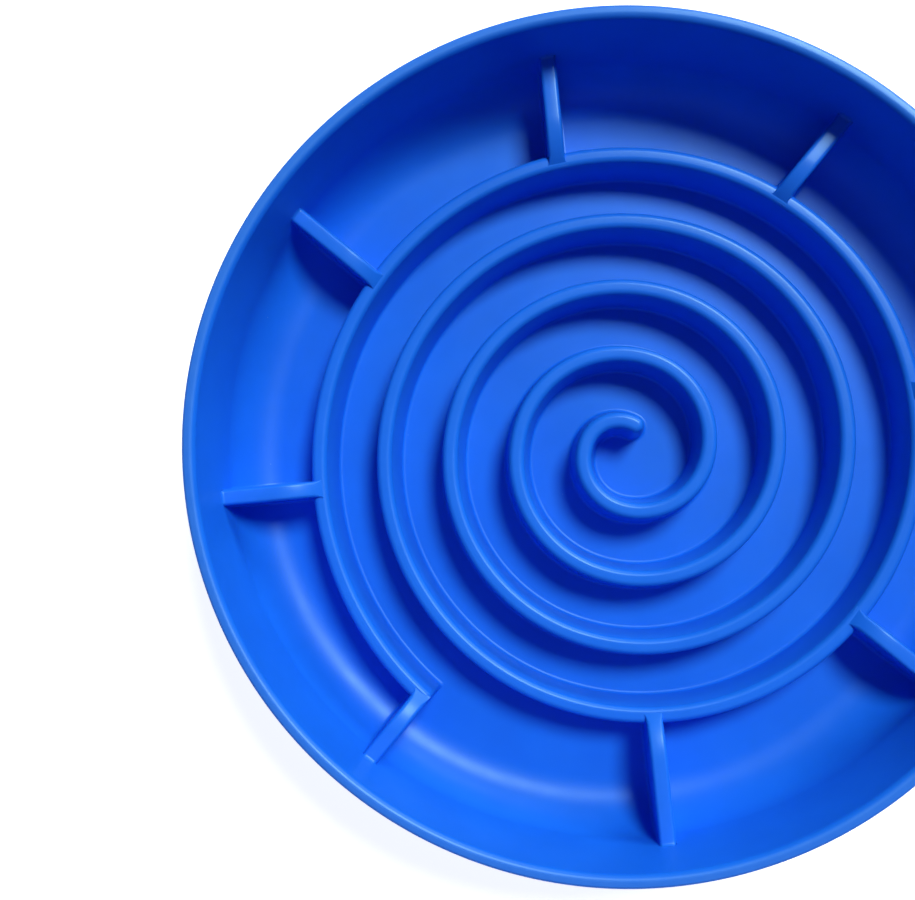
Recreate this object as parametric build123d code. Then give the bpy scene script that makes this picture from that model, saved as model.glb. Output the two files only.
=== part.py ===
from build123d import *
from math import atan2, cos, degrees, radians, sin, sqrt, tan
import os

# A round slow feeder bowl in soft silicone. A spiral ridge stands on its flat floor, and upright
# ribs run from the ridge's outer turn to the wall. The bowl stands on suction cups.
# Millimetres, +Z up. The origin is on the bowl's axis, on the surface that the bowl stands on.

# Shell
rim_diameter = 200.0  # outside of the rim
inside_depth = 32.0  # from the floor up to the top of the rim
wall_thickness = 3.2
floor_thickness = 3.0
corner_radius = 12.0  # inside, where the floor turns up into the wall
wall_lean = 5.0  # degrees that the wall leans outward from upright

# Spiral ridge
ridge_height = 12.5  # above the floor
ridge_top_width = 3.9
ridge_edge_radius = 1.4  # rounds both long edges of the top
ridge_draft = 5.0  # degrees that each side leans in towards the top
spiral_center_x = 6.3  # middle of the ridge's outermost arc, beside the bowl's axis
spiral_center_y = -3.7
spiral_end_gap = 3.3  # flat floor left between the ridge's outer end and the turned-up corner
spiral_quarters = 17  # quarter turns from the outermost arc to the inner curl
curl_radius = 8.3  # of the inner curl
curl_sweep = 102.0  # degrees of the inner curl

# Divider ribs
rib_count = 8
rib_thickness = 4.0
rib_first_direction = 230.6  # degrees, of the rib that the spiral ends at
rib_center_x = -0.8  # the point that the ribs turn about, beside the bowl's axis
rib_center_y = 0.7
rib_side_step = 4.9  # how far each rib's middle plane passes beside that point
rib_rise = 4.2  # of the rib's level top above the ridge
rib_shoulder_radius = 16.0  # of the curve from the ridge's top up to the level top
rib_saddle = 0.3  # rib left over the ridge's crest
rib_overlap = 0.3  # how far the rib reaches past the ridge's crest
rib_edge_radius = 0.4

# Suction cups
cup_count = 8
cup_inset = 21.0  # from the edge of the flat floor in to each cup's middle
cup_height = 4.0
cup_diameter = 26.0
cup_neck_diameter = 12.0
cup_neck_length = 1.6
cup_lip_width = 1.5
cup_lip_height = 0.8
cup_hollow_depth = 1.8

# Levels and radii that follow from these sizes
underside_z = cup_height
floor_z = underside_z + floor_thickness
rim_z = floor_z + inside_depth
bead_radius = wall_thickness / 2
bead_center = (rim_diameter / 2 - bead_radius, rim_z - bead_radius)
ridge_flat_half = ridge_top_width / 2 - ridge_edge_radius
ridge_round_z = ridge_height - ridge_edge_radius
ridge_side_x = ridge_flat_half + ridge_edge_radius * cos(radians(ridge_draft))
ridge_side_z = ridge_round_z + ridge_edge_radius * sin(radians(ridge_draft))
ridge_foot_half = ridge_side_x + ridge_side_z * tan(radians(ridge_draft))
lean = radians(wall_lean)


def direction(angle):
    """The level unit vector at an angle in degrees."""
    return Vector(cos(radians(angle)), sin(radians(angle)), 0)


def upright_plane(origin, angle):
    """A plane whose local x is level at the angle, and whose local y is up."""
    return Plane(origin=origin, x_dir=direction(angle), z_dir=direction(angle - 90))


def write(name, solid):
    export_step(solid, f"parts/{name}.step")


def wall_point(offset):
    """The end of a wall face beside the rim's bead: the offset is from the wall's middle, outward."""
    return (bead_center[0] + offset * cos(lean), bead_center[1] - offset * sin(lean))


def corner(level, offset, radius):
    """The arc between a level face and a wall face: its centre, and its ends on each face."""
    point = wall_point(offset)
    center_z = level + radius
    center_x = point[0] - (radius - (center_z - point[1]) * sin(lean)) / cos(lean)
    on_wall = (center_x + radius * cos(lean), center_z - radius * sin(lean))
    return (center_x, center_z), (center_x, level), on_wall


def corner_edge(level, offset, radius):
    """The corner's arc as an edge, from the level face to the wall."""
    center, on_level, on_wall = corner(level, offset, radius)
    return CenterArc(center, radius, -90, 90 - wall_lean), on_level, on_wall


floor_radius = corner(floor_z, -bead_radius, corner_radius)[1][0]  # of the flat floor


def shell_solid():
    """Floor, turned-up corner, leaning wall and rounded rim in one turned profile."""
    outer_arc, under_edge, outer_low = corner_edge(
        underside_z, bead_radius, corner_radius + wall_thickness
    )
    inner_arc, floor_edge, inner_low = corner_edge(floor_z, -bead_radius, corner_radius)
    bead = CenterArc(bead_center, bead_radius, -wall_lean, 180)
    outline = [
        Line((0, underside_z), under_edge),
        outer_arc,
        Line(outer_low, wall_point(bead_radius)),
        bead,
        Line(wall_point(-bead_radius), inner_low),
        inner_arc,
        Line(floor_edge, (0, floor_z)),
        Line((0, floor_z), (0, underside_z)),
    ]
    return revolve(Plane.XZ * make_face(outline), Axis.Z)


def cavity_solid():
    """The space inside the bowl, up to the middle of the rim's bead."""
    inner_arc, floor_edge, inner_low = corner_edge(floor_z, -bead_radius, corner_radius)
    mouth = wall_point(-bead_radius)
    outline = [
        Line((0, floor_z), floor_edge),
        inner_arc,
        Line(inner_low, mouth),
        Line(mouth, (0, mouth[1])),
        Line((0, mouth[1]), (0, floor_z)),
    ]
    return revolve(Plane.XZ * make_face(outline), Axis.Z)


def ridge_profile(half=False):
    """The ridge's section, standing on local y = 0 about x = 0, whole or only its +x half."""
    start = 0 if half else -ridge_foot_half
    edges = [
        Line((start, 0), (ridge_foot_half, 0)),
        Line((ridge_foot_half, 0), (ridge_side_x, ridge_side_z)),
        CenterArc((ridge_flat_half, ridge_round_z), ridge_edge_radius, ridge_draft, 90 - ridge_draft),
    ]
    if half:
        edges += [
            Line((ridge_flat_half, ridge_height), (0, ridge_height)),
            Line((0, ridge_height), (0, 0)),
        ]
    else:
        edges += [
            Line((ridge_flat_half, ridge_height), (-ridge_flat_half, ridge_height)),
            CenterArc((-ridge_flat_half, ridge_round_z), ridge_edge_radius, 90, 90 - ridge_draft),
            Line((-ridge_side_x, ridge_side_z), (-ridge_foot_half, 0)),
        ]
    return make_face(edges)


def rib_side(rib_angle):
    """How far a rib's middle plane passes beside the bowl's axis."""
    rib_center = Vector(rib_center_x, rib_center_y, 0)
    return rib_side_step + rib_center.dot(direction(rib_angle + 90))


# The ridge's crest ends flush with the first rib's far face
spiral_center = Vector(spiral_center_x, spiral_center_y, 0)
ridge_end_radius = floor_radius - spiral_end_gap - ridge_foot_half
end_side = rib_side(rib_first_direction) + rib_thickness / 2
end_along = sqrt(ridge_end_radius**2 - end_side**2)
end_point = direction(rib_first_direction) * end_along + direction(rib_first_direction + 90) * end_side


def spiral_arcs():
    """The spiral as arcs from its outer end inward: centre, radius, first angle and sweep.

    The centres go round the corners of a square, so each arc runs smoothly into the next. The first
    arc is shorter than a quarter turn, so that the places where two arcs meet lie midway between ribs.
    """
    reach = end_point - spiral_center
    radius = reach.length
    arc_step = (radius - curl_radius) / spiral_quarters
    center = spiral_center
    angle = degrees(atan2(reach.Y, reach.X))
    sweeps = [90 - 180 / rib_count] + [90] * (spiral_quarters - 1) + [curl_sweep]
    arcs = []
    for sweep in sweeps:
        angle -= sweep
        arcs.append((center, radius, angle, sweep))
        center = center + direction(angle) * arc_step
        radius -= arc_step
    return arcs


def ridge_arc(center, radius, angle, sweep):
    """One stretch of the ridge, turned about its own upright axis."""
    section = upright_plane(center, angle) * Pos(radius, floor_z) * ridge_profile()
    return revolve(section, Axis(center, (0, 0, 1)), sweep)


def rounded_end(center, radius, angle):
    """The half-round end of the inner curl."""
    middle = center + direction(angle) * radius
    section = upright_plane(middle, angle + 180) * Pos(0, floor_z) * ridge_profile(half=True)
    return revolve(section, Axis(middle, (0, 0, 1)), 180)


def spiral_turns(arcs):
    """One solid for each turn, from the outer turn to the inner curl."""
    turns = []
    for first in range(0, len(arcs), 4):
        stretches = [ridge_arc(*arc) for arc in arcs[first : first + 4]]
        turns.append(stretches[0].fuse(*stretches[1:]) if len(stretches) > 1 else stretches[0])
    inner_center, inner_radius, inner_angle, _ = arcs[-1]
    turns[-1] = turns[-1].fuse(rounded_end(inner_center, inner_radius, inner_angle))
    return turns


def crest_along(rib_angle, outer_arcs):
    """How far along a rib's middle plane it crosses the crest of the ridge's outer turn."""
    along_dir = direction(rib_angle)
    side_dir = direction(rib_angle + 90)
    for center, radius, angle, sweep in outer_arcs:
        side = rib_side(rib_angle) - center.dot(side_dir)
        along = center.dot(along_dir) + sqrt(radius**2 - side**2)
        reach = along_dir * along + side_dir * rib_side(rib_angle) - center
        past_start = (degrees(atan2(reach.Y, reach.X)) - angle) % 360
        if past_start <= sweep:
            return along
    raise ValueError("the rib misses the outer turn")


def rib_solid(rib_angle, outer_arcs, outer_turn, cavity):
    """An upright rib from over the ridge's crest to the wall, shaped by the wall and the ridge."""
    inner = crest_along(rib_angle, outer_arcs) - rib_overlap
    low_top = floor_z + ridge_height + rib_saddle
    level_top = floor_z + ridge_height + rib_rise
    shoulder_drop = level_top - low_top
    shoulder_run = sqrt(rib_shoulder_radius**2 - (rib_shoulder_radius - shoulder_drop) ** 2)
    shoulder_end = inner + shoulder_run
    beyond_wall = rim_diameter / 2
    outline = [
        Line((inner, floor_z), (beyond_wall, floor_z)),
        Line((beyond_wall, floor_z), (beyond_wall, level_top)),
        Line((beyond_wall, level_top), (shoulder_end, level_top)),
        RadiusArc((shoulder_end, level_top), (inner, low_top), -rib_shoulder_radius),
        Line((inner, low_top), (inner, floor_z)),
    ]
    middle = direction(rib_angle + 90) * rib_side(rib_angle)
    face = upright_plane(middle, rib_angle) * make_face(outline)
    plate = extrude(face, rib_thickness / 2, both=True)
    long_edges = plate.edges().filter_by(
        lambda edge: edge.center().Z > floor_z + ridge_height
        and abs((edge.center() - middle).dot(direction(rib_angle + 90))) > rib_thickness / 4
    )
    plate = fillet(long_edges, rib_edge_radius)
    return (plate & cavity) - outer_turn


def cup_solid():
    """A suction cup: neck, flared skirt, flat lip and shallow hollow."""
    lip_outer = cup_diameter / 2
    lip_inner = lip_outer - cup_lip_width
    neck_radius = cup_neck_diameter / 2
    hollow_radius = (lip_inner**2 + cup_hollow_depth**2) / (2 * cup_hollow_depth)
    neck_low = cup_height - cup_neck_length
    outline = [
        RadiusArc((0, cup_hollow_depth), (lip_inner, 0), hollow_radius),
        Line((lip_inner, 0), (lip_outer, 0)),
        Line((lip_outer, 0), (lip_outer, cup_lip_height)),
        Line((lip_outer, cup_lip_height), (neck_radius, neck_low)),
        Line((neck_radius, neck_low), (neck_radius, cup_height)),
        Line((neck_radius, cup_height), (0, cup_height)),
        Line((0, cup_height), (0, cup_hollow_depth)),
    ]
    return revolve(Plane.XZ * make_face(outline), Axis.Z)


os.makedirs("parts", exist_ok=True)

write("bowl_shell", shell_solid())

arcs = spiral_arcs()
turns = spiral_turns(arcs)
for number, turn in enumerate(turns, 1):
    write(f"spiral_turn_{number}", turn)

cavity = cavity_solid()
for number in range(rib_count):
    rib_angle = rib_first_direction + number * 360 / rib_count
    write(f"divider_rib_{number + 1}", rib_solid(rib_angle, arcs[:4], turns[0], cavity))

cup = cup_solid()
for number in range(cup_count):
    cup_angle = rib_first_direction + number * 360 / cup_count
    place = direction(cup_angle) * (floor_radius - cup_inset)
    write(f"suction_cup_{number + 1}", Pos(place) * cup)
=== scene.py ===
import bmesh
import bpy
from math import acos, asin, atan2, ceil, cos, degrees, hypot, pi, radians, sin, sqrt, tan
from mathutils import Matrix, Vector


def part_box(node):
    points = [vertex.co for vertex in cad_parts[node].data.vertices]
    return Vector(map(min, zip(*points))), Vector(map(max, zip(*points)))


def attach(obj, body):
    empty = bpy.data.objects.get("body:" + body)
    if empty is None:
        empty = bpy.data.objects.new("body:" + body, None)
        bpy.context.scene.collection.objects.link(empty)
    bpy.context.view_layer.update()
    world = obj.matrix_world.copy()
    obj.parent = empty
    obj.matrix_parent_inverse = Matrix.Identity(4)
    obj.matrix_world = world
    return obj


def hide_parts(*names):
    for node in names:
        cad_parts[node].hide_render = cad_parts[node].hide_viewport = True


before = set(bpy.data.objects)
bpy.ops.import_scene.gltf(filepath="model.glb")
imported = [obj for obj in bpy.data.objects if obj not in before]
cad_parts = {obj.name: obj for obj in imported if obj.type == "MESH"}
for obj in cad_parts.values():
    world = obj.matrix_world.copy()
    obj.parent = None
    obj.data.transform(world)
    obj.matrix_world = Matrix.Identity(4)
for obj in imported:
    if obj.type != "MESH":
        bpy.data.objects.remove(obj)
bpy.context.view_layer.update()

# Lengths of the bowl are in millimetres up to make_piece, which turns them into metres
MM = 0.001


def cad_box(node):
    """A CAD node's lowest and highest corners, in millimetres."""
    low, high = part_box(node)
    return low / MM, high / MM


# Sizes read from the frame
shell_low, shell_high = cad_box("bowl_shell")
ridge_low, ridge_high = cad_box("spiral_turn_1")
rim_radius = shell_high.x
rim_z = shell_high.z
underside_z = shell_low.z
floor_z = ridge_low.z
ridge_z = ridge_high.z
rib_z = cad_box("divider_rib_1")[1].z

# Shell
wall_thickness = 3.2
corner_radius = 12.0  # inside, where the floor turns up into the wall
wall_lean = radians(5)
rim_inner_edge = 1.6  # radii of the rim's two edges
rim_outer_edge = 0.8

# Spiral ridge
ridge_height = ridge_z - floor_z
ridge_top_width = 3.9
ridge_edge_radius = 1.4
ridge_draft = radians(5)
ridge_foot_radius = 0.9
ridge_end_corner = 0.8  # radius of the outer end's upright corners
ridge_end_easing = 0.6  # share of the sides' rounding and draft that the outer end has
ridge_end_length = 2.6  # of the straight stretch behind the outer end
spiral_end_gap = 3.3  # flat floor left between the outer end and the turned-up corner
spiral_center = Vector((6.3, -3.7))  # of the outermost arc
spiral_quarters = 17
curl_radius = 8.3
curl_sweep = 102.0
outer_turn_arcs = 4  # the arcs that the ribs start on

# Divider ribs
rib_count = 8
rib_thickness = 4.0
rib_first_direction = 230.6
rib_center = Vector((-0.8, 0.7))  # the point that the ribs turn about
rib_side_step = 4.9  # how far each rib's middle plane passes beside that point
rib_dip = 0.25  # of the rib's first point below the ridge's top
rib_root_radius = 1.2  # where the rib's top leaves the ridge
rib_shoulder_radius = 16.0
rib_shoulder_reach = 10.2  # from the ridge's crest to where the rib's top is level
rib_edge_radius = 0.9
rib_foot_radius = 0.9  # between the rib's sides and the floor or the wall
rib_ridge_fillet = 0.4  # between the rib's sides and the ridge
rib_end_radius = 0.8  # where the rib's top meets the wall
rib_end_fillet = 0.3  # between the rib's sides and the wall, at the top's end
rib_edge_least = 0.02  # radius of the top's edges on the ridge
rib_edge_growth = 0.6  # of that radius with the distance from the ridge
rib_foot_growth = 0.25  # of the foot's radius with the rib's height, from the top's end
rib_foot_share = 0.85  # most of the rib's height that the foot takes up
rib_least_height = 0.001
rib_upright_run = 8.0  # from the crest, where the mesh's lines stand upright

# Suction cups
cup_count = 8
cup_neck_radius = 6.0
cup_neck_length = 1.6
cup_root_radius = 0.6
cup_lip_height = 0.8
cup_lip_width = 1.5
cup_hollow_depth = 1.8

# Fineness of the meshes
merge_distance = 0.0001
sharp_angle = 50  # degrees
shell_segments = 288
floor_rings = 12
corner_steps = 24
rim_inner_steps = 12
rim_outer_steps = 10
spiral_step = 2  # degrees
ridge_edge_steps = 10
ridge_foot_steps = 7
ridge_end_steps = 5
tip_steps = 20
rib_root_steps = 8
rib_shoulder_steps = 40
rib_level_steps = 20
rib_end_steps = 8
rib_round_steps = 6  # of the ribs' long edges and feet
cup_segments = 64
cup_hollow_steps = 12
cup_lip_steps = 8
cup_skirt_steps = 4
cup_root_steps = 5
sunk_depth = 0.25  # of the ridge's and the ribs' hidden bottoms below the shell's surface

# Sizes that follow from these
half_wall = wall_thickness / 2
wall_top = Vector((rim_radius - half_wall, rim_z - half_wall))  # in mid-wall, beside the rim
ridge_flat = ridge_top_width / 2 - ridge_edge_radius
ridge_side_x = ridge_flat + ridge_edge_radius * cos(ridge_draft)
ridge_side_z = ridge_height - ridge_edge_radius * (1 - sin(ridge_draft))
ridge_foot_half = ridge_side_x + ridge_side_z * tan(ridge_draft)


def level(angle):
    """The level unit vector at an angle in degrees."""
    return Vector((cos(radians(angle)), sin(radians(angle))))


def arc_points(center, radius, first, last, count):
    """Points on an arc, its angles in radians, both ends included."""
    points = []
    for step in range(count + 1):
        angle = first + (last - first) * step / count
        points.append(Vector((center[0] + radius * cos(angle), center[1] + radius * sin(angle))))
    return points


def make_piece(name, points, faces):
    """A smooth closed mesh object from points in millimetres."""
    mesh = bpy.data.meshes.new(name)
    mesh.from_pydata([Vector(point) * MM for point in points], [], faces)
    shape = bmesh.new()
    shape.from_mesh(mesh)
    bmesh.ops.remove_doubles(shape, verts=shape.verts, dist=merge_distance * MM)
    bmesh.ops.recalc_face_normals(shape, faces=shape.faces)
    if shape.calc_volume(signed=True) < 0:
        bmesh.ops.reverse_faces(shape, faces=shape.faces)
    shape.to_mesh(mesh)
    shape.free()
    mesh.polygons.foreach_set("use_smooth", [True] * len(mesh.polygons))
    mesh.set_sharp_from_angle(angle=radians(sharp_angle))
    piece = bpy.data.objects.new(name, mesh)
    bpy.context.scene.collection.objects.link(piece)
    return piece


def grid_faces(rows, columns, closed_rows=False, closed_columns=False):
    """Quads between rows of points, the last row or column joined to the first where closed."""
    faces = []
    for row in range(rows if closed_rows else rows - 1):
        after = (row + 1) % rows
        for column in range(columns if closed_columns else columns - 1):
            beside = (column + 1) % columns
            here, there = row * columns, after * columns
            faces.append((here + column, there + column, there + beside, here + beside))
    return faces


# Bowl shell


def wall_corner(height, offset, radius):
    """Centre of the arc between a level face and a wall face at an offset from mid-wall."""
    edge_x = wall_top.x + offset * cos(wall_lean)
    edge_z = wall_top.y - offset * sin(wall_lean)
    center_z = height + radius
    inset = (radius - (center_z - edge_z) * sin(wall_lean)) / cos(wall_lean)
    return Vector((edge_x - inset, center_z))


inner_corner = wall_corner(floor_z, -half_wall, corner_radius)
outer_corner = wall_corner(underside_z, half_wall, corner_radius + wall_thickness)
floor_radius = inner_corner.x
wall_start = Vector((  # the inner wall's lowest point, above the corner
    inner_corner.x + corner_radius * cos(wall_lean),
    inner_corner.y - corner_radius * sin(wall_lean),
))
corner_run = corner_radius * (pi / 2 - wall_lean)
rim_inner_z = rim_z - rim_inner_edge
rim_inner_rise = rim_inner_z + rim_inner_edge * sin(wall_lean) - wall_start.y
rim_inner_x = wall_start.x + rim_inner_rise * tan(wall_lean) + rim_inner_edge * cos(wall_lean)
rim_inner_center = Vector((rim_inner_x, rim_inner_z))
rim_outer_center = Vector((rim_radius - rim_outer_edge, rim_z - rim_outer_edge))


def shell_profile():
    """Radius and height from the floor's middle, over the rim, to the underside's middle."""
    outer_radius = corner_radius + wall_thickness
    upright = pi / 2
    floor = [Vector((floor_radius * ring / floor_rings, floor_z)) for ring in range(floor_rings)]
    inner = arc_points(inner_corner, corner_radius, -upright, -wall_lean, corner_steps)
    inner_edge = arc_points(
        rim_inner_center, rim_inner_edge, pi - wall_lean, upright, rim_inner_steps
    )
    outer_edge = arc_points(
        rim_outer_center, rim_outer_edge, upright, -wall_lean, rim_outer_steps
    )
    outer = arc_points(outer_corner, outer_radius, -wall_lean, -upright, corner_steps)
    under = [
        Vector((outer_corner.x * ring / floor_rings, underside_z))
        for ring in range(floor_rings - 1, -1, -1)
    ]
    return floor + inner + inner_edge + outer_edge + outer + under


def lathe(name, profile, segments, middle=(0, 0)):
    """A turned piece whose profile starts and ends on the axis."""
    body = profile[1:-1]
    points = []
    for segment in range(segments):
        angle = 2 * pi * segment / segments
        for radius, height in body:
            x = middle[0] + radius * cos(angle)
            y = middle[1] + radius * sin(angle)
            points.append((x, y, height))
    faces = grid_faces(segments, len(body), closed_rows=True)
    first = len(points)
    points.append((*middle, profile[0].y))
    points.append((*middle, profile[-1].y))
    for segment in range(segments):
        here = segment * len(body)
        after = (segment + 1) % segments * len(body)
        faces.append((first, after, here))
        faces.append((first + 1, here + len(body) - 1, after + len(body) - 1))
    return make_piece(name, points, faces)


# Spiral ridge


def rib_side(rib_angle):
    """How far a rib's middle plane passes beside the bowl's axis."""
    return rib_side_step + rib_center.dot(level(rib_angle + 90))


def ridge_half_section():
    """Half of the ridge's section, from the flat top down: offset from the middle, and height."""
    shoulder_center = (ridge_flat, ridge_height - ridge_edge_radius)
    shoulder = arc_points(shoulder_center, ridge_edge_radius, pi / 2, ridge_draft, ridge_edge_steps)
    foot_z = ridge_foot_radius * (1 - sin(ridge_draft))
    foot_x = ridge_side_x + (ridge_side_z - foot_z) * tan(ridge_draft)
    foot_center = (foot_x + ridge_foot_radius * cos(ridge_draft), ridge_foot_radius)
    foot = arc_points(
        foot_center, ridge_foot_radius, pi + ridge_draft, 1.5 * pi, ridge_foot_steps
    )
    return shoulder + foot + [Vector((foot[-1].x, -sunk_depth))]


def spiral_end():
    """Where the ridge's crest ends, flush with the first rib's far face."""
    end_radius = floor_radius - spiral_end_gap - ridge_foot_half
    side = rib_side(rib_first_direction) + rib_thickness / 2
    along = sqrt(end_radius**2 - side**2)
    return level(rib_first_direction) * along + level(rib_first_direction + 90) * side


def spiral_arcs():
    """Arcs from the outer end to the inner curl: centre, radius, first angle and sweep."""
    reach = spiral_end() - spiral_center
    radius = reach.length
    arc_step = (radius - curl_radius) / spiral_quarters
    center = spiral_center
    angle = degrees(atan2(reach.y, reach.x))
    sweeps = [90 - 180 / rib_count] + [90] * (spiral_quarters - 1) + [curl_sweep]
    arcs = []
    for sweep in sweeps:
        arcs.append((center, radius, angle, sweep))
        angle -= sweep
        center = center + level(angle) * arc_step
        radius -= arc_step
    return arcs


def spiral_stations(arcs):
    """Places from behind the ridge's outer end to its tip: middle, and angle of the outer side."""
    stations = []
    for number, (center, radius, angle, sweep) in enumerate(arcs):
        skipped = degrees(ridge_end_length / radius) if number == 0 else 0
        count = ceil(sweep / spiral_step)
        for step in range(count):
            outward = angle - skipped - (sweep - skipped) * step / count
            stations.append((center + level(outward) * radius, outward))
    center, radius, angle, sweep = arcs[-1]
    stations.append((center + level(angle - sweep) * radius, angle - sweep))
    return stations


def ridge_end_points(offset, angle):
    """The outer end's outline at an offset from the ridge's middle, inner side first."""
    ahead = (offset - ridge_side_x) * ridge_end_easing
    corner = min(ridge_end_corner, offset)
    outline = arc_points((offset - corner, ahead - corner), corner, pi / 2, 0, ridge_end_steps)
    outline = [Vector((-point.x, point.y)) for point in reversed(outline)] + outline
    end = spiral_end()
    return [
        end + level(angle) * across + level(angle + 90) * along for across, along in outline
    ]


def spiral_piece(arcs):
    """The whole ridge in closed outlines from its top to its foot, with a half-round inner tip."""
    stations = spiral_stations(arcs)
    tip, tip_angle = stations[-1]
    points = []
    section = ridge_half_section()
    for offset, height in section:
        outline = [middle + level(angle) * offset for middle, angle in stations]
        for turn in range(1, tip_steps):
            outline.append(tip + level(tip_angle - 180 * turn / tip_steps) * offset)
        outline += [middle - level(angle) * offset for middle, angle in reversed(stations)]
        outline += ridge_end_points(offset, arcs[0][2])
        points += [(point.x, point.y, floor_z + height) for point in outline]
    columns = len(points) // len(section)
    faces = grid_faces(len(section), columns, closed_columns=True)
    # The flat top and the hidden bottom
    last = len(stations) - 1
    inner_last = last + tip_steps
    for start in (0, len(points) - columns):
        for step in range(last):
            inner = inner_last + last - step
            faces.append((start + step, start + step + 1, start + inner - 1, start + inner))
        faces.append(tuple(range(start + last, start + inner_last + 1)))
        faces.append((*range(start + inner_last + last, start + columns), start))
    return make_piece("spiral_ridge", points, faces)


# Divider ribs


def inner_wall(run):
    """The shell's inner face at a run from the axis: point in radius and height, and slope."""
    if run < floor_radius:
        return Vector((run, floor_z)), 0.0
    if run < floor_radius + corner_run:
        slope = (run - floor_radius) / corner_radius
        return inner_corner + corner_radius * Vector((sin(slope), -cos(slope))), slope
    past = run - floor_radius - corner_run
    return wall_start + past * Vector((sin(wall_lean), cos(wall_lean))), pi / 2 - wall_lean


def crest_radius(rib_angle, arcs):
    """How far from the bowl's axis a rib's middle plane crosses the outer turn's crest."""
    along_dir = level(rib_angle)
    side_dir = level(rib_angle + 90)
    aside = rib_side(rib_angle)
    for center, radius, angle, sweep in arcs[:outer_turn_arcs]:
        along = center.dot(along_dir) + sqrt(radius**2 - (aside - center.dot(side_dir)) ** 2)
        reach = along_dir * along + side_dir * aside - center
        if (angle - degrees(atan2(reach.y, reach.x))) % 360 <= sweep:
            return hypot(along, aside)
    raise ValueError("the rib misses the outer turn")


def flare(distance, radius):
    """How far a fillet stands out at a distance from the face that it runs into."""
    gap = min(max(distance, 0), radius)
    return radius - sqrt(radius**2 - (radius - gap) ** 2)


def ridge_distance(spot, crest):
    """How far a spot of radius and height lies outside the ridge, whose crest is at a radius."""
    drop = max(0, floor_z + ridge_side_z - spot.y)
    past_x = spot.x - crest - ridge_flat - drop * tan(ridge_draft)
    past_z = spot.y - (ridge_z - ridge_edge_radius)
    outside = hypot(max(past_x, 0), max(past_z, 0))
    return outside + min(max(past_x, past_z), 0) - ridge_edge_radius


def rib_top(crest):
    """The rib's top from ridge to wall: points in radius and height, each with its normal."""
    low = ridge_z - rib_dip
    both_radii = rib_root_radius + rib_shoulder_radius
    steepest = acos(1 - (rib_z - low) / both_radii)
    shoulder_center = Vector((crest + rib_shoulder_reach, rib_z - rib_shoulder_radius))
    root_center = Vector((shoulder_center.x - both_radii * sin(steepest), low + rib_root_radius))
    wall_x = wall_start.x + (rib_z + rib_end_radius - wall_start.y) * tan(wall_lean)
    end_center = Vector((wall_x - rib_end_radius / cos(wall_lean), rib_z + rib_end_radius))
    top = []

    def add_arc(center, reach, first, last, count):
        for step in range(count):
            tilt = first + (last - first) * step / count
            normal = Vector((-sin(tilt), cos(tilt)))
            top.append((center + normal * reach, normal))

    add_arc(root_center, -rib_root_radius, 0, steepest, rib_root_steps)
    add_arc(shoulder_center, rib_shoulder_radius, steepest, 0, rib_shoulder_steps)
    for step in range(rib_level_steps):
        share = 1 - (1 - step / rib_level_steps) ** 2
        along = shoulder_center.x + (end_center.x - shoulder_center.x) * share
        top.append((Vector((along, rib_z)), Vector((0, 1))))
    add_arc(end_center, -rib_end_radius, 0, pi / 2 - wall_lean, rib_end_steps)
    # The last point is hidden behind the wall's face
    outward = Vector((cos(wall_lean), -sin(wall_lean)))
    top.append((end_center + outward * (rib_end_radius + sunk_depth), -outward))
    return top


def rib_base(top, crest):
    """Where each line of the rib's sides starts, as a run along the shell's inner face."""
    upright = [upper.x for upper, _ in top if upper.x < crest + rib_upright_run]
    last_run = floor_radius + corner_run + (top[-1][0].y - wall_start.y) / cos(wall_lean)
    left = len(top) - len(upright)
    first_run = upright[-1]
    leaning = [first_run + (last_run - first_run) * (step + 1) / left for step in range(left)]
    return upright + leaning


def rib_piece(number, arcs):
    """A rib with flat sides, eased top edges, and fillets against the shell and the ridge."""
    rib_angle = rib_first_direction + number * 360 / rib_count
    crest = crest_radius(rib_angle, arcs)
    top = rib_top(crest)
    inward = Vector((-cos(wall_lean), sin(wall_lean)))
    half = rib_thickness / 2
    turns = [pi / 2 * step / rib_round_steps for step in range(rib_round_steps + 1)]
    points = []
    for (upper, normal), run in zip(top, rib_base(top, crest)):
        base, slope = inner_wall(run)
        rise = Vector((-sin(slope), cos(slope)))
        span = max((upper - base).dot(rise), rib_least_height)
        foot = min(rib_foot_radius, rib_end_fillet + rib_foot_growth * span)
        side = [(base - rise * sunk_depth, half + foot)]
        for step, turn in enumerate(turns):
            most = rib_foot_share * step / rib_round_steps
            share = min(foot * (1 - cos(turn)) / span, most)
            spot = base.lerp(upper, share)
            side.append((spot, half + flare(share * span, foot)))
        away = max(ridge_distance(upper, crest), 0)
        edge = min(rib_edge_radius, rib_edge_least + rib_edge_growth * away)
        wide = half + flare((upper - wall_start).dot(inward), rib_end_fillet)
        side += [
            (upper - normal * edge * (1 - sin(turn)), wide - edge * (1 - cos(turn)))
            for turn in turns
        ]
        # The ridge ends flush with the first rib's far side, and leaves no fillet there
        far_fillet = 0 if number == 0 else rib_ridge_fillet
        far, near = [
            [(spot, across + flare(ridge_distance(spot, crest), fillet)) for spot, across in side]
            for fillet in (far_fillet, rib_ridge_fillet)
        ]
        mirrored = [(spot, -across) for spot, across in reversed(near)]
        for (radius, height), across in far + mirrored:
            aside = rib_side(rib_angle) + across
            along = sqrt(radius**2 - aside**2)
            place = level(rib_angle) * along + level(rib_angle + 90) * aside
            points.append((place.x, place.y, height))
    columns = len(points) // len(top)
    faces = grid_faces(len(top), columns, closed_columns=True)
    faces.append(tuple(range(columns)))
    faces.append(tuple(range(len(points) - columns, len(points))))
    return make_piece(f"rib_{number + 1}", points, faces)


# Suction cups


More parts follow.
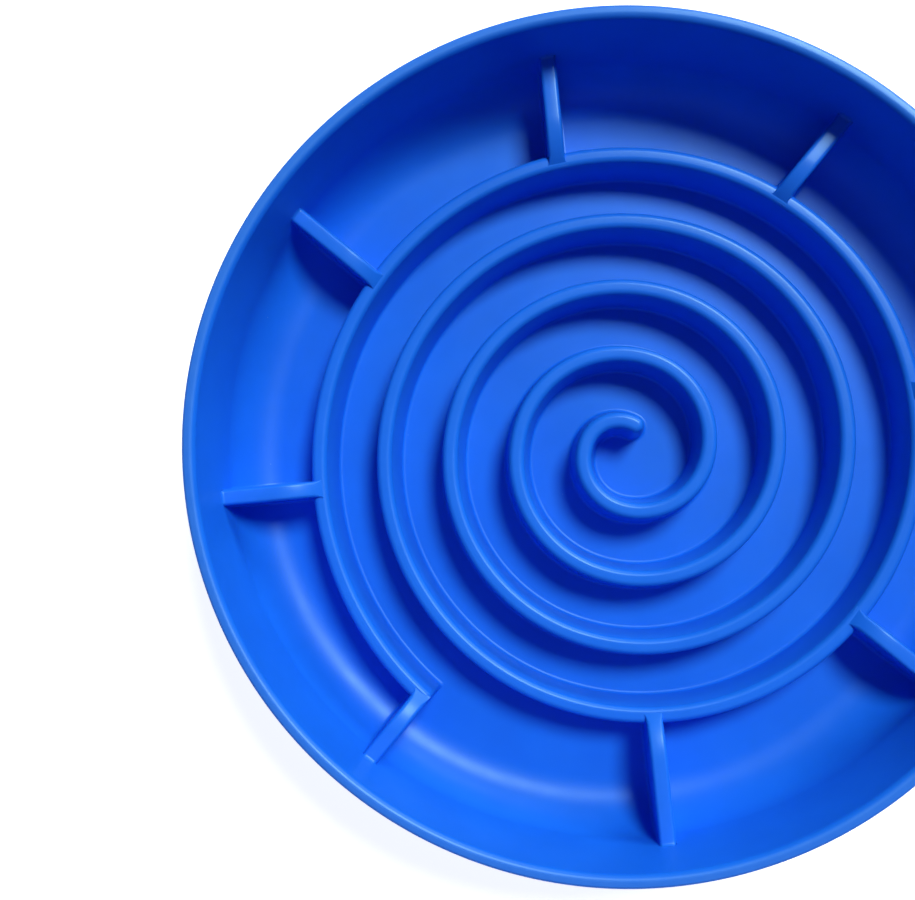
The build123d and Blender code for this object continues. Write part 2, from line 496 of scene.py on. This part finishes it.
def cup_piece(number):
    """A soft cup: neck with a rounded root, thin flared skirt, rounded lip and shallow hollow."""
    low, high = cad_box(f"suction_cup_{number + 1}")
    middle = ((low.x + high.x) / 2, (low.y + high.y) / 2)
    lip_radius = (high.x - low.x) / 2
    hollow_radius = lip_radius - cup_lip_width
    dome_radius = (hollow_radius**2 + cup_hollow_depth**2) / (2 * cup_hollow_depth)
    dome_angle = asin(hollow_radius / dome_radius)
    dome_center = (0, cup_hollow_depth - dome_radius)
    dome = arc_points(dome_center, dome_radius, pi / 2, pi / 2 - dome_angle, cup_hollow_steps)
    lip_middle = (lip_radius - cup_lip_height / 2, cup_lip_height / 2)
    lip = arc_points(lip_middle, cup_lip_height / 2, -pi / 2, pi / 2, cup_lip_steps)
    neck_low = high.z - cup_neck_length
    root_center = (cup_neck_radius + cup_root_radius, neck_low + cup_root_radius)
    root = arc_points(root_center, cup_root_radius, 1.5 * pi, pi, cup_root_steps)
    skirt = [lip[-1].lerp(root[0], step / cup_skirt_steps) for step in range(1, cup_skirt_steps)]
    neck = [Vector((cup_neck_radius, high.z)), Vector((0, high.z))]
    profile = dome + lip + skirt + root + neck
    return lathe(f"cup_{number + 1}", profile, cup_segments, middle)


# Material

deep_colour = (0.0075, 0.154, 0.79, 1)
light_colour = (0.0085, 0.17, 0.84, 1)
# Paler colours for the ridge's and the rim's upward tops: painted sheen
sheen_ridge_colour = (0.026, 0.2, 0.99, 1)
sheen_rim_colour = (0.038, 0.21, 0.82, 1)
lint_colour = (0.1, 0.3, 0.85, 1)
gloss_colour = (0.5, 0.85, 0.8, 1)
refractive_index = 1.47
least_rough = 0.36
most_rough = 0.42
top_smooth = 0.85  # share of the roughness that is left on the tops
ridge_sheen_share = 0.4  # share of the rim's painted sheen that the ridge has
raised_start = floor_z + ridge_height * 0.7  # height where the tops' painted sheen and smoothing start, and are full
raised_full = floor_z + ridge_height * 0.9
top_start = 0.75  # upward part of the normal where a top starts, and where it is level
top_full = 0.98
noise_low = 0.3  # the span that most of a noise lies in
noise_high = 0.7
lint_cell = 3.6
lint_radius = 0.13
lint_free = 0.88  # share of the cells that have no lint


def silicone_material():
    """Satin moulded silicone: fine matte grain, faint unevenness, tops paler with painted sheen,
    some lint.
    """
    material = bpy.data.materials.new("silicone")
    material.use_nodes = True
    nodes = material.node_tree.nodes
    links = material.node_tree.links
    shader = nodes["Principled BSDF"]
    place = nodes.new("ShaderNodeTexCoord").outputs["Object"]

    def put(socket, value):
        """Sets a socket to a plain value, or links another socket to it."""
        if isinstance(value, bpy.types.NodeSocket):
            links.new(value, socket)
        else:
            socket.default_value = value

    def calculate(operation, first, second):
        """What an operation makes of two values, each a number or a socket."""
        node = nodes.new("ShaderNodeMath")
        node.operation = operation
        put(node.inputs[0], first)
        put(node.inputs[1], second)
        return node.outputs[0]

    def upward_part(vector):
        """A vector's Z."""
        node = nodes.new("ShaderNodeSeparateXYZ")
        put(node.inputs[0], vector)
        return node.outputs["Z"]

    def ramp(value, first, last, low=0, high=1):
        """A value's range from first to last, stretched to low to high and held beyond."""
        node = nodes.new("ShaderNodeMapRange")
        put(node.inputs["Value"], value)
        put(node.inputs["From Min"], first)
        put(node.inputs["From Max"], last)
        put(node.inputs["To Min"], low)
        put(node.inputs["To Max"], high)
        return node.outputs["Result"]

    def noise(size, detail):
        """Noise whose coarsest features have a size in millimetres."""
        node = nodes.new("ShaderNodeTexNoise")
        put(node.inputs["Vector"], place)
        put(node.inputs["Scale"], 1 / (size * MM))
        put(node.inputs["Detail"], detail)
        return node.outputs["Fac"]

    def patches(size, detail, low=0, high=1):
        """Noise stretched to fill a range."""
        return ramp(noise(size, detail), noise_low, noise_high, low, high)

    def mixed(share, first, second):
        """A mix of two colours, each a plain colour or a socket."""
        node = nodes.new("ShaderNodeMix")
        node.data_type = "RGBA"
        put(node.inputs["Factor"], share)
        # The node's colours are inputs 6 and 7 and output 2
        put(node.inputs[6], first)
        put(node.inputs[7], second)
        return node.outputs[2]

    def bump(height, distance, strength, normal=None):
        """A normal tilted by small heights, their full range in millimetres."""
        node = nodes.new("ShaderNodeBump")
        put(node.inputs["Distance"], distance * MM)
        put(node.inputs["Strength"], strength)
        put(node.inputs["Height"], height)
        if normal:
            put(node.inputs["Normal"], normal)
        return node.outputs["Normal"]

    # Lint: a speck near the middle of a few of the cells
    cells = nodes.new("ShaderNodeTexVoronoi")
    put(cells.inputs["Vector"], place)
    put(cells.inputs["Scale"], 1 / (lint_cell * MM))
    chance = nodes.new("ShaderNodeSeparateColor")
    put(chance.inputs["Color"], cells.outputs["Color"])
    near = calculate("LESS_THAN", cells.outputs["Distance"], lint_radius / lint_cell)
    chosen = calculate("GREATER_THAN", chance.outputs["Red"], lint_free)
    speck = calculate("MULTIPLY", near, chosen)

    # Painted sheen: a paler colour on the upward tops, most on the rim, and a smoother finish there
    # too
    height = upward_part(place)
    facing = upward_part(nodes.new("ShaderNodeNewGeometry").outputs["Normal"])
    raised = ramp(height, raised_start * MM, raised_full * MM)
    tops = calculate("MULTIPLY", raised, ramp(facing, top_start, top_full))
    high = ramp(height, ridge_z * MM, rim_z * MM)
    patchy = calculate("MULTIPLY", tops, patches(size=2.2, detail=4, low=0.7))
    painted_sheen = calculate("MULTIPLY", patchy, ramp(high, 0, 1, low=ridge_sheen_share))

    pigment = mixed(patches(size=14, detail=3), deep_colour, light_colour)
    # The pigment with the painted sheen mixed in on the tops
    sheened_pigment = mixed(painted_sheen, pigment, mixed(high, sheen_ridge_colour, sheen_rim_colour))
    satin = patches(size=9, detail=4, low=least_rough, high=most_rough)
    polish = ramp(tops, 0, 1, low=1, high=top_smooth)
    uneven = bump(noise(size=18, detail=2), distance=0.12, strength=0.5)
    grain = bump(noise(size=0.45, detail=2), distance=0.02, strength=0.5, normal=uneven)
    put(shader.inputs["Base Color"], mixed(speck, sheened_pigment, lint_colour))
    put(shader.inputs["Roughness"], calculate("MULTIPLY", satin, polish))
    put(shader.inputs["Normal"], grain)
    put(shader.inputs["IOR"], refractive_index)
    put(shader.inputs["Specular Tint"], gloss_colour)
    return material


# Pieces

silicone = silicone_material()
arcs = spiral_arcs()
shell = lathe("shell", shell_profile(), shell_segments)
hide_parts("bowl_shell")
ridge = spiral_piece(arcs)
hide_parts(*[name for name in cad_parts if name.startswith("spiral_turn_")])
pieces = [shell, ridge]
for number in range(rib_count):
    pieces.append(rib_piece(number, arcs))
    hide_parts(f"divider_rib_{number + 1}")
for number in range(cup_count):
    pieces.append(cup_piece(number))
    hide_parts(f"suction_cup_{number + 1}")
for piece in pieces:
    piece.data.materials.append(silicone)
    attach(piece, "root")


# Stage, light and camera, with the stage and the lights in metres

stage_segments = 96
stage_middle = 0.00001  # radius that the floor starts from
stage_radius = 1.2
floor_glow = 0.85
cove_radius = 0.5  # where the backdrop turns up
cove_steps = 12
backdrop_height = 3
backdrop_glow = 1
fill_colour = (0.2, 0.3, 1)
white = (1, 1, 1, 1)
pale_grey = (0.9, 0.9, 0.9, 1)
ambient_strength = 0.042


def pale_stage(name, profile, glow):
    """A plain white stage piece turned round the bowl's axis, from a profile in metres."""
    points = []
    for segment in range(stage_segments):
        around = level(360 * segment / stage_segments)
        points += [(*(around * radius), height) for radius, height in profile]
    faces = grid_faces(stage_segments, len(profile), closed_rows=True)
    mesh = bpy.data.meshes.new(name)
    mesh.from_pydata(points, [], faces)
    mesh.polygons.foreach_set("use_smooth", [True] * len(mesh.polygons))
    material = bpy.data.materials.new(name)
    material.use_nodes = True
    sockets = material.node_tree.nodes["Principled BSDF"].inputs
    sockets["Base Color"].default_value = pale_grey
    sockets["Roughness"].default_value = 0.8
    sockets["Emission Color"].default_value = white
    sockets["Emission Strength"].default_value = glow
    mesh.materials.append(material)
    piece = bpy.data.objects.new(name, mesh)
    bpy.context.scene.collection.objects.link(piece)
    return piece


def soft_light(name, azimuth, elevation, width, height, energy, distance=3.0, colour=(1, 1, 1)):
    """A wide soft light that shines at the bowl's middle."""
    light = bpy.data.lights.new(name, "AREA")
    light.shape = "ELLIPSE"
    light.size = width
    light.size_y = height
    light.energy = energy
    light.color = colour
    lamp = bpy.data.objects.new(name, light)
    bpy.context.scene.collection.objects.link(lamp)
    rise = radians(elevation)
    toward = Vector((*(level(azimuth) * cos(rise)), sin(rise)))
    lamp.location = toward * distance
    lamp.rotation_euler = (-toward).to_track_quat("-Z", "Y").to_euler()


def photo_camera():
    """A camera where the photograph was taken from, almost straight above."""
    image_width = 915  # in pixels, like the focal length
    focal_length = 1100
    place = Vector((-13.99, -11.68, floor_z + 281.9))
    forward = Vector((-0.085, 0.038, -1)).normalized()
    camera = bpy.data.cameras.new("camera")
    camera.sensor_width = 36.0
    camera.lens = focal_length * camera.sensor_width / image_width
    viewer = bpy.data.objects.new("camera", camera)
    bpy.context.scene.collection.objects.link(viewer)
    right = (Vector((1, 0, 0)) - forward * forward.x).normalized()
    view = Matrix((right, right.cross(forward), -forward)).transposed().to_4x4()
    view.translation = place * MM
    viewer.matrix_world = view
    bpy.context.scene.camera = viewer


pale_stage("floor", [(stage_middle, 0), (stage_radius, 0)], floor_glow)
cove = arc_points((stage_radius, cove_radius), cove_radius, -pi / 2, 0, cove_steps)
backdrop_top = (stage_radius + cove_radius, backdrop_height)
backdrop = pale_stage("backdrop", [*cove, backdrop_top], backdrop_glow)
# The backdrop is seen, but sheds no light on the bowl
backdrop.visible_diffuse = False
backdrop.visible_glossy = False
backdrop.visible_shadow = False
soft_light("key", azimuth=54, elevation=57, width=1.0, height=0.9, energy=75)
soft_light("low", azimuth=58, elevation=17, width=2.4, height=0.8, energy=40)
# A weak blue fill stands in for the light that silicone scatters into its shadows
soft_light(
    "fill", azimuth=-95, elevation=50, width=0.4, height=0.3, energy=0.2, distance=0.45,
    colour=fill_colour,
)
world = bpy.data.worlds.new("studio")
world.use_nodes = True
ambient = world.node_tree.nodes["Background"].inputs
ambient["Color"].default_value = white
ambient["Strength"].default_value = ambient_strength
bpy.context.scene.world = world
bpy.context.scene.view_settings.view_transform = "Standard"
photo_camera()

bpy.context.view_layer.update()
